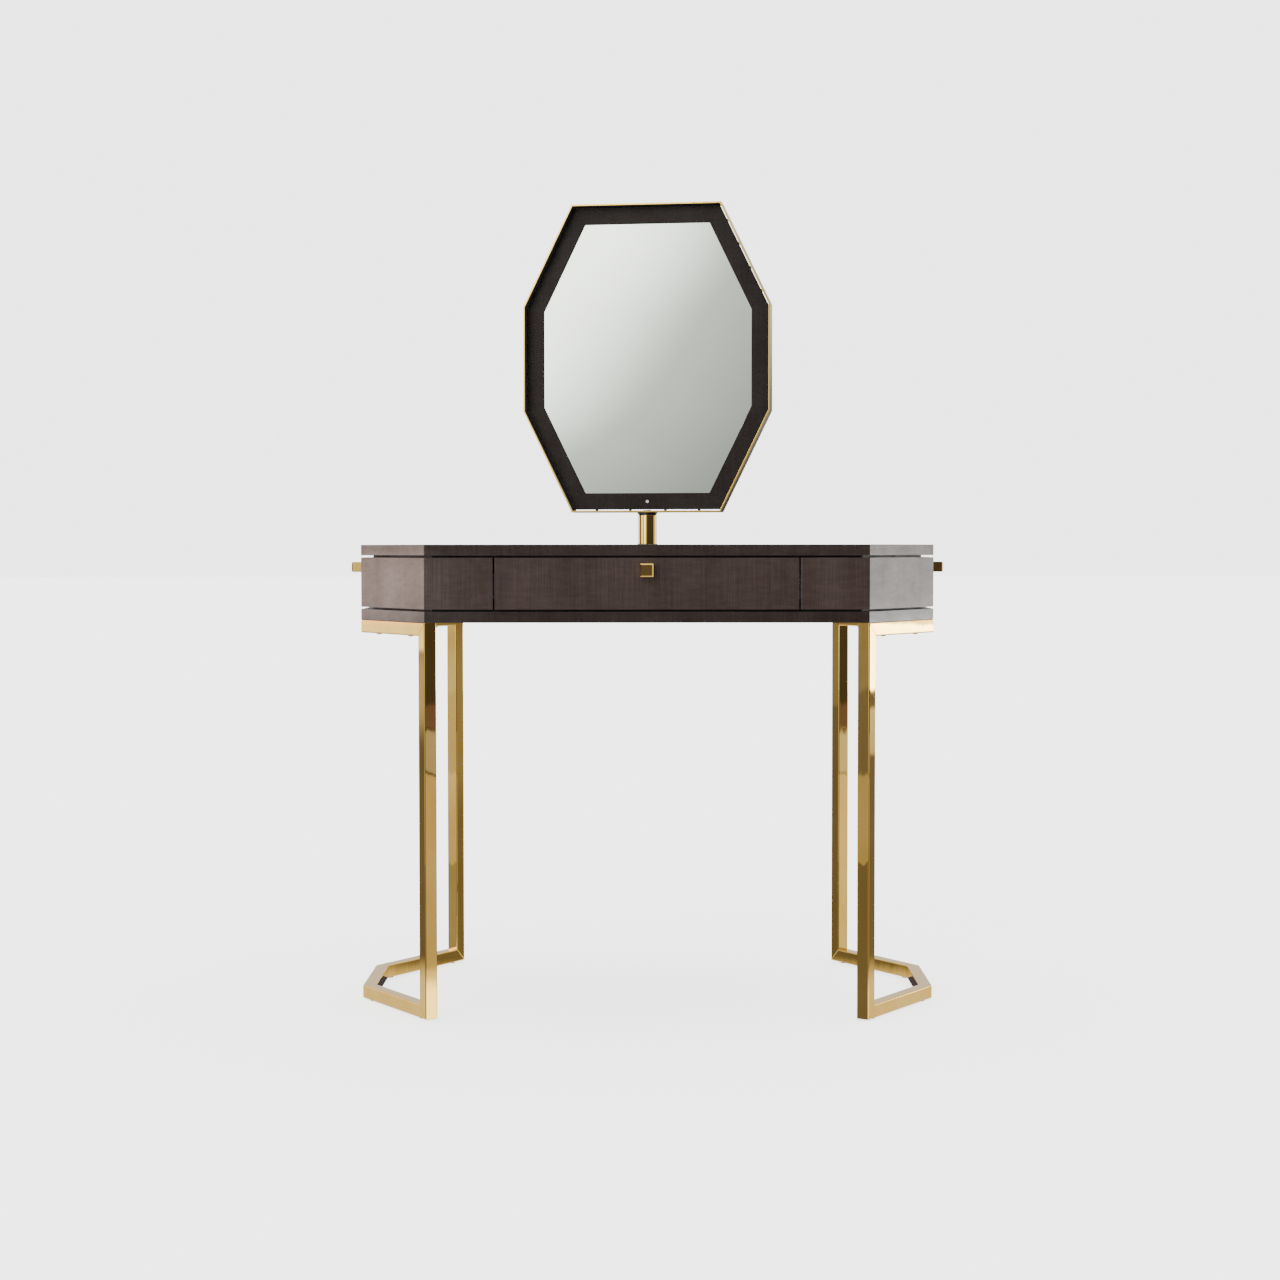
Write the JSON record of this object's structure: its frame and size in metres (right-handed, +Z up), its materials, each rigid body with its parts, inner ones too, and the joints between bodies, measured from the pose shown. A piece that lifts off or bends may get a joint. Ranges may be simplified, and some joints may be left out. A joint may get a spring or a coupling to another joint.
{
  "type": "vanity table with mirror",
  "caption": "Octagonal dressing table in dark lacquered veneer with brass tube leg frames, drawers in the front and sides, and a swivelling octagonal mirror.",
  "frame": {"origin": "on the floor, under the middle of the table's octagonal top", "axes": "+Z up, +X to the right as the sitter faces the table, the front and its centre drawer face -Y"},
  "size_m": [1.005, 0.581, 1.3678],
  "materials": {
    "dark_veneer": "gloss lacquer",
    "drawer_wood": "satin",
    "black_board": "matte",
    "polished_brass": "polished",
    "blackened_metal": "satin",
    "bright_steel": "brushed",
    "black_nylon": "matte",
    "mirror_glass": "polished"
  },
  "bodies": {
    "root": {"back_panel": "dark_veneer", "bottom_slab": "dark_veneer", "centre_outer_rails": "bright_steel", "foot_glides": "black_nylon", "frame_screws": "bright_steel", "left_back_corner_panel": "dark_veneer", "left_back_leg": "polished_brass", "left_divider": "drawer_wood", "left_floor_back_tube": "polished_brass", "left_floor_front_tube": "polished_brass", "left_floor_side_tube": "polished_brass", "left_front_corner_panel": "dark_veneer", "left_front_leg": "polished_brass", "left_front_panel": "dark_veneer", "left_top_back_tube": "polished_brass", "left_top_front_tube": "polished_brass", "left_top_side_tube": "polished_brass", "lower_reveal_board": "black_board", "post_ring": "blackened_metal", "post_socket": "bright_steel", "post_tube": "polished_brass", "right_back_corner_panel": "dark_veneer", "right_back_leg": "polished_brass", "right_divider": "drawer_wood", "right_floor_back_tube": "polished_brass", "right_floor_front_tube": "polished_brass", "right_floor_side_tube": "polished_brass", "right_front_corner_panel": "dark_veneer", "right_front_leg": "polished_brass", "right_front_panel": "dark_veneer", "right_top_back_tube": "polished_brass", "right_top_front_tube": "polished_brass", "right_top_side_tube": "polished_brass", "side_runners": "drawer_wood", "swivel_bush": "black_nylon", "top_slab": "dark_veneer", "upper_reveal_board": "black_board"},
    "mirror": {"mirror_hoop": "polished_brass", "hoop_clips": "blackened_metal", "mirror_panel": "dark_veneer", "mirror_glass": "mirror_glass", "panel_button": "bright_steel", "pivot_pin": "bright_steel", "swivel_washer": "blackened_metal"},
    "centre_drawer": {"centre_drawer_front": "dark_veneer", "centre_drawer_sides": "drawer_wood", "centre_drawer_back": "drawer_wood", "centre_drawer_bottom": "drawer_wood", "centre_inner_rails": "bright_steel", "centre_knob": "polished_brass"},
    "left_drawer": {"left_drawer_front": "dark_veneer", "left_drawer_sides": "drawer_wood", "left_drawer_back": "drawer_wood", "left_drawer_bottom": "drawer_wood", "left_knob": "polished_brass"},
    "right_drawer": {"right_drawer_front": "dark_veneer", "right_drawer_sides": "drawer_wood", "right_drawer_back": "drawer_wood", "right_drawer_bottom": "drawer_wood", "right_knob": "polished_brass"}
  },
  "joints": [
    {"name": "centre_drawer_slide", "type": "slide", "parent": "root", "child": "centre_drawer", "axis": [0, -1, 0], "range_m": [0, 0.33]},
    {"name": "left_drawer_slide", "type": "slide", "parent": "root", "child": "left_drawer", "axis": [-1, 0, 0], "range_m": [0, 0.13]},
    {"name": "right_drawer_slide", "type": "slide", "parent": "root", "child": "right_drawer", "axis": [1, 0, 0], "range_m": [0, 0.13]},
    {"name": "mirror_swivel", "type": "hinge", "parent": "root", "child": "mirror", "pos_m": [0, 0.2225, 0.812], "axis": [0, 0, 1], "range_deg": [-36.6, 53.4]}
  ]
}
